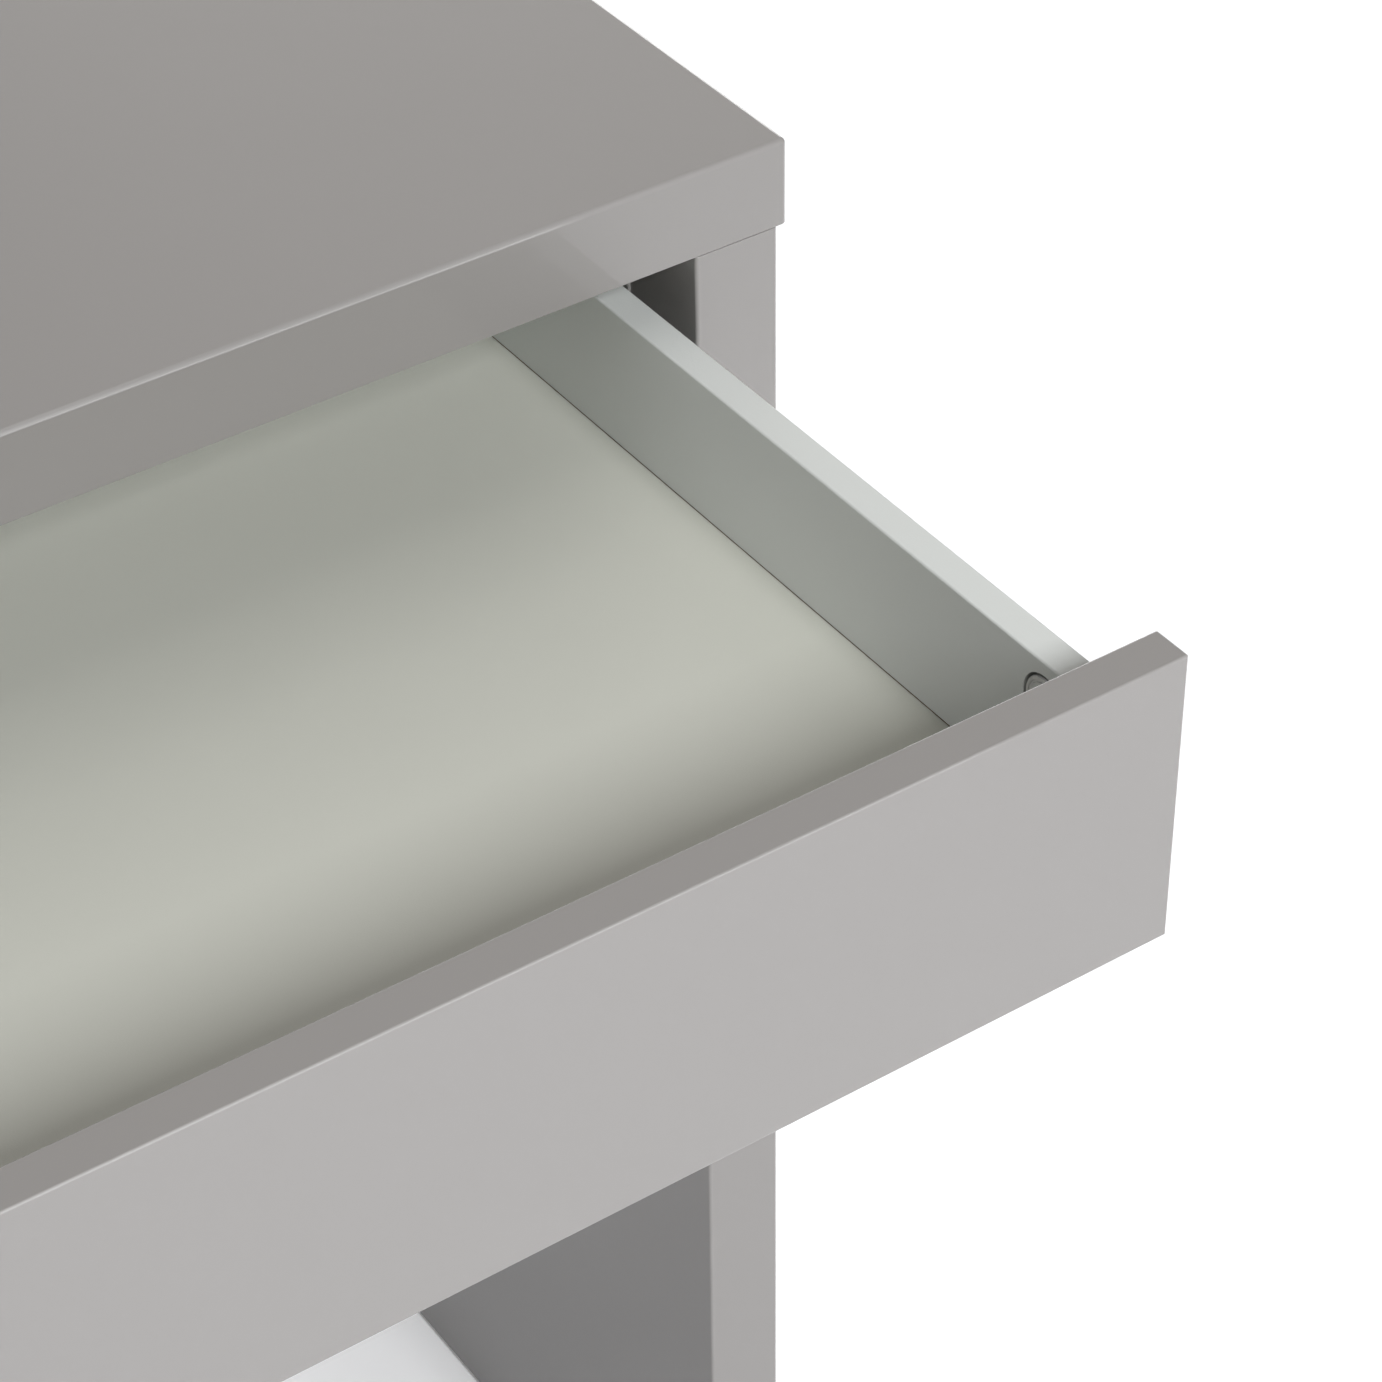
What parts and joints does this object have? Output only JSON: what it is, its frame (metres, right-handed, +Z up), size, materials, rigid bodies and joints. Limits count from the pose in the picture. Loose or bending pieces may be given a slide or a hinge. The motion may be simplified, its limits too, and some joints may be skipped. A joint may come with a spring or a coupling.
{
  "type": "side table with drawer",
  "caption": "Tall rectangular side table in gloss grey lacquer, thick top on full-depth side panels, with a wide drawer pulled out on roller runners.",
  "frame": {"origin": "on the floor, under the middle of the table with its drawer pulled out as shown", "axes": "+X to the right as seen from the front, +Y from the front to the back, +Z up"},
  "size_m": [0.9, 0.682, 0.805],
  "materials": {
    "lacquer": "high-gloss taupe grey lacquer",
    "drawer_foil": "light grey foil on board",
    "zinc_casting": "bare die-cast zinc",
    "plated_steel": "zinc plated",
    "beech": "raw beech",
    "cap_plastic": "moulded, board colour",
    "glide_plastic": "moulded",
    "runner_steel": "white epoxy coating",
    "nylon": "white nylon"
  },
  "bodies": {
    "carcass": {"top_panel": "lacquer", "rear_rail": "lacquer", "side_panel_left": "lacquer", "side_panel_right": "lacquer", "cam_housings": "zinc_casting", "cam_bolts": "plated_steel", "cam_cover_caps": "cap_plastic", "carcass_dowels": "beech", "floor_glides": "glide_plastic", "glide_nails": "plated_steel", "cabinet_runner_left": "runner_steel", "cabinet_runner_right": "runner_steel", "cabinet_runner_screws": "plated_steel", "cabinet_roller_pins": "plated_steel"},
    "drawer": {"drawer_front": "lacquer", "drawer_side_left": "drawer_foil", "drawer_side_right": "drawer_foil", "drawer_back": "drawer_foil", "drawer_bottom": "drawer_foil", "drawer_cams": "zinc_casting", "drawer_cam_bolts": "plated_steel", "drawer_dowels": "beech", "drawer_back_screws": "plated_steel", "drawer_bottom_screws": "plated_steel", "drawer_runner_left": "runner_steel", "drawer_runner_right": "runner_steel", "drawer_runner_screws": "plated_steel", "drawer_roller_pins": "plated_steel"},
    "front_roller_left": {"cabinet_roller_left": "nylon"},
    "front_roller_right": {"cabinet_roller_right": "nylon"},
    "rear_roller_left": {"drawer_roller_left": "nylon"},
    "rear_roller_right": {"drawer_roller_right": "nylon"}
  },
  "joints": [
    {"name": "drawer_slide", "type": "slide", "parent": "carcass", "child": "drawer", "axis": [0, -1, 0], "range_m": [-0.263, 0]},
    {"name": "front_roller_left_spin", "type": "hinge", "parent": "carcass", "child": "front_roller_left", "pos_m": [-0.4067, -0.047, 0.68925], "axis": [1, 0, 0], "continuous": true},
    {"name": "rear_roller_left_spin", "type": "hinge", "parent": "drawer", "child": "rear_roller_left", "pos_m": [-0.4048, 0.01, 0.68865], "axis": [1, 0, 0], "continuous": true},
    {"name": "front_roller_right_spin", "type": "hinge", "parent": "carcass", "child": "front_roller_right", "pos_m": [0.4067, -0.047, 0.68925], "axis": [1, 0, 0], "continuous": true},
    {"name": "rear_roller_right_spin", "type": "hinge", "parent": "drawer", "child": "rear_roller_right", "pos_m": [0.4048, 0.01, 0.68865], "axis": [1, 0, 0], "continuous": true}
  ],
  "couplings": [
    {"joint": "front_roller_left_spin", "follows": "drawer_slide", "rad_per_m": 100},
    {"joint": "rear_roller_left_spin", "follows": "drawer_slide", "rad_per_m": 100},
    {"joint": "front_roller_right_spin", "follows": "drawer_slide", "rad_per_m": 100},
    {"joint": "rear_roller_right_spin", "follows": "drawer_slide", "rad_per_m": 100}
  ]
}
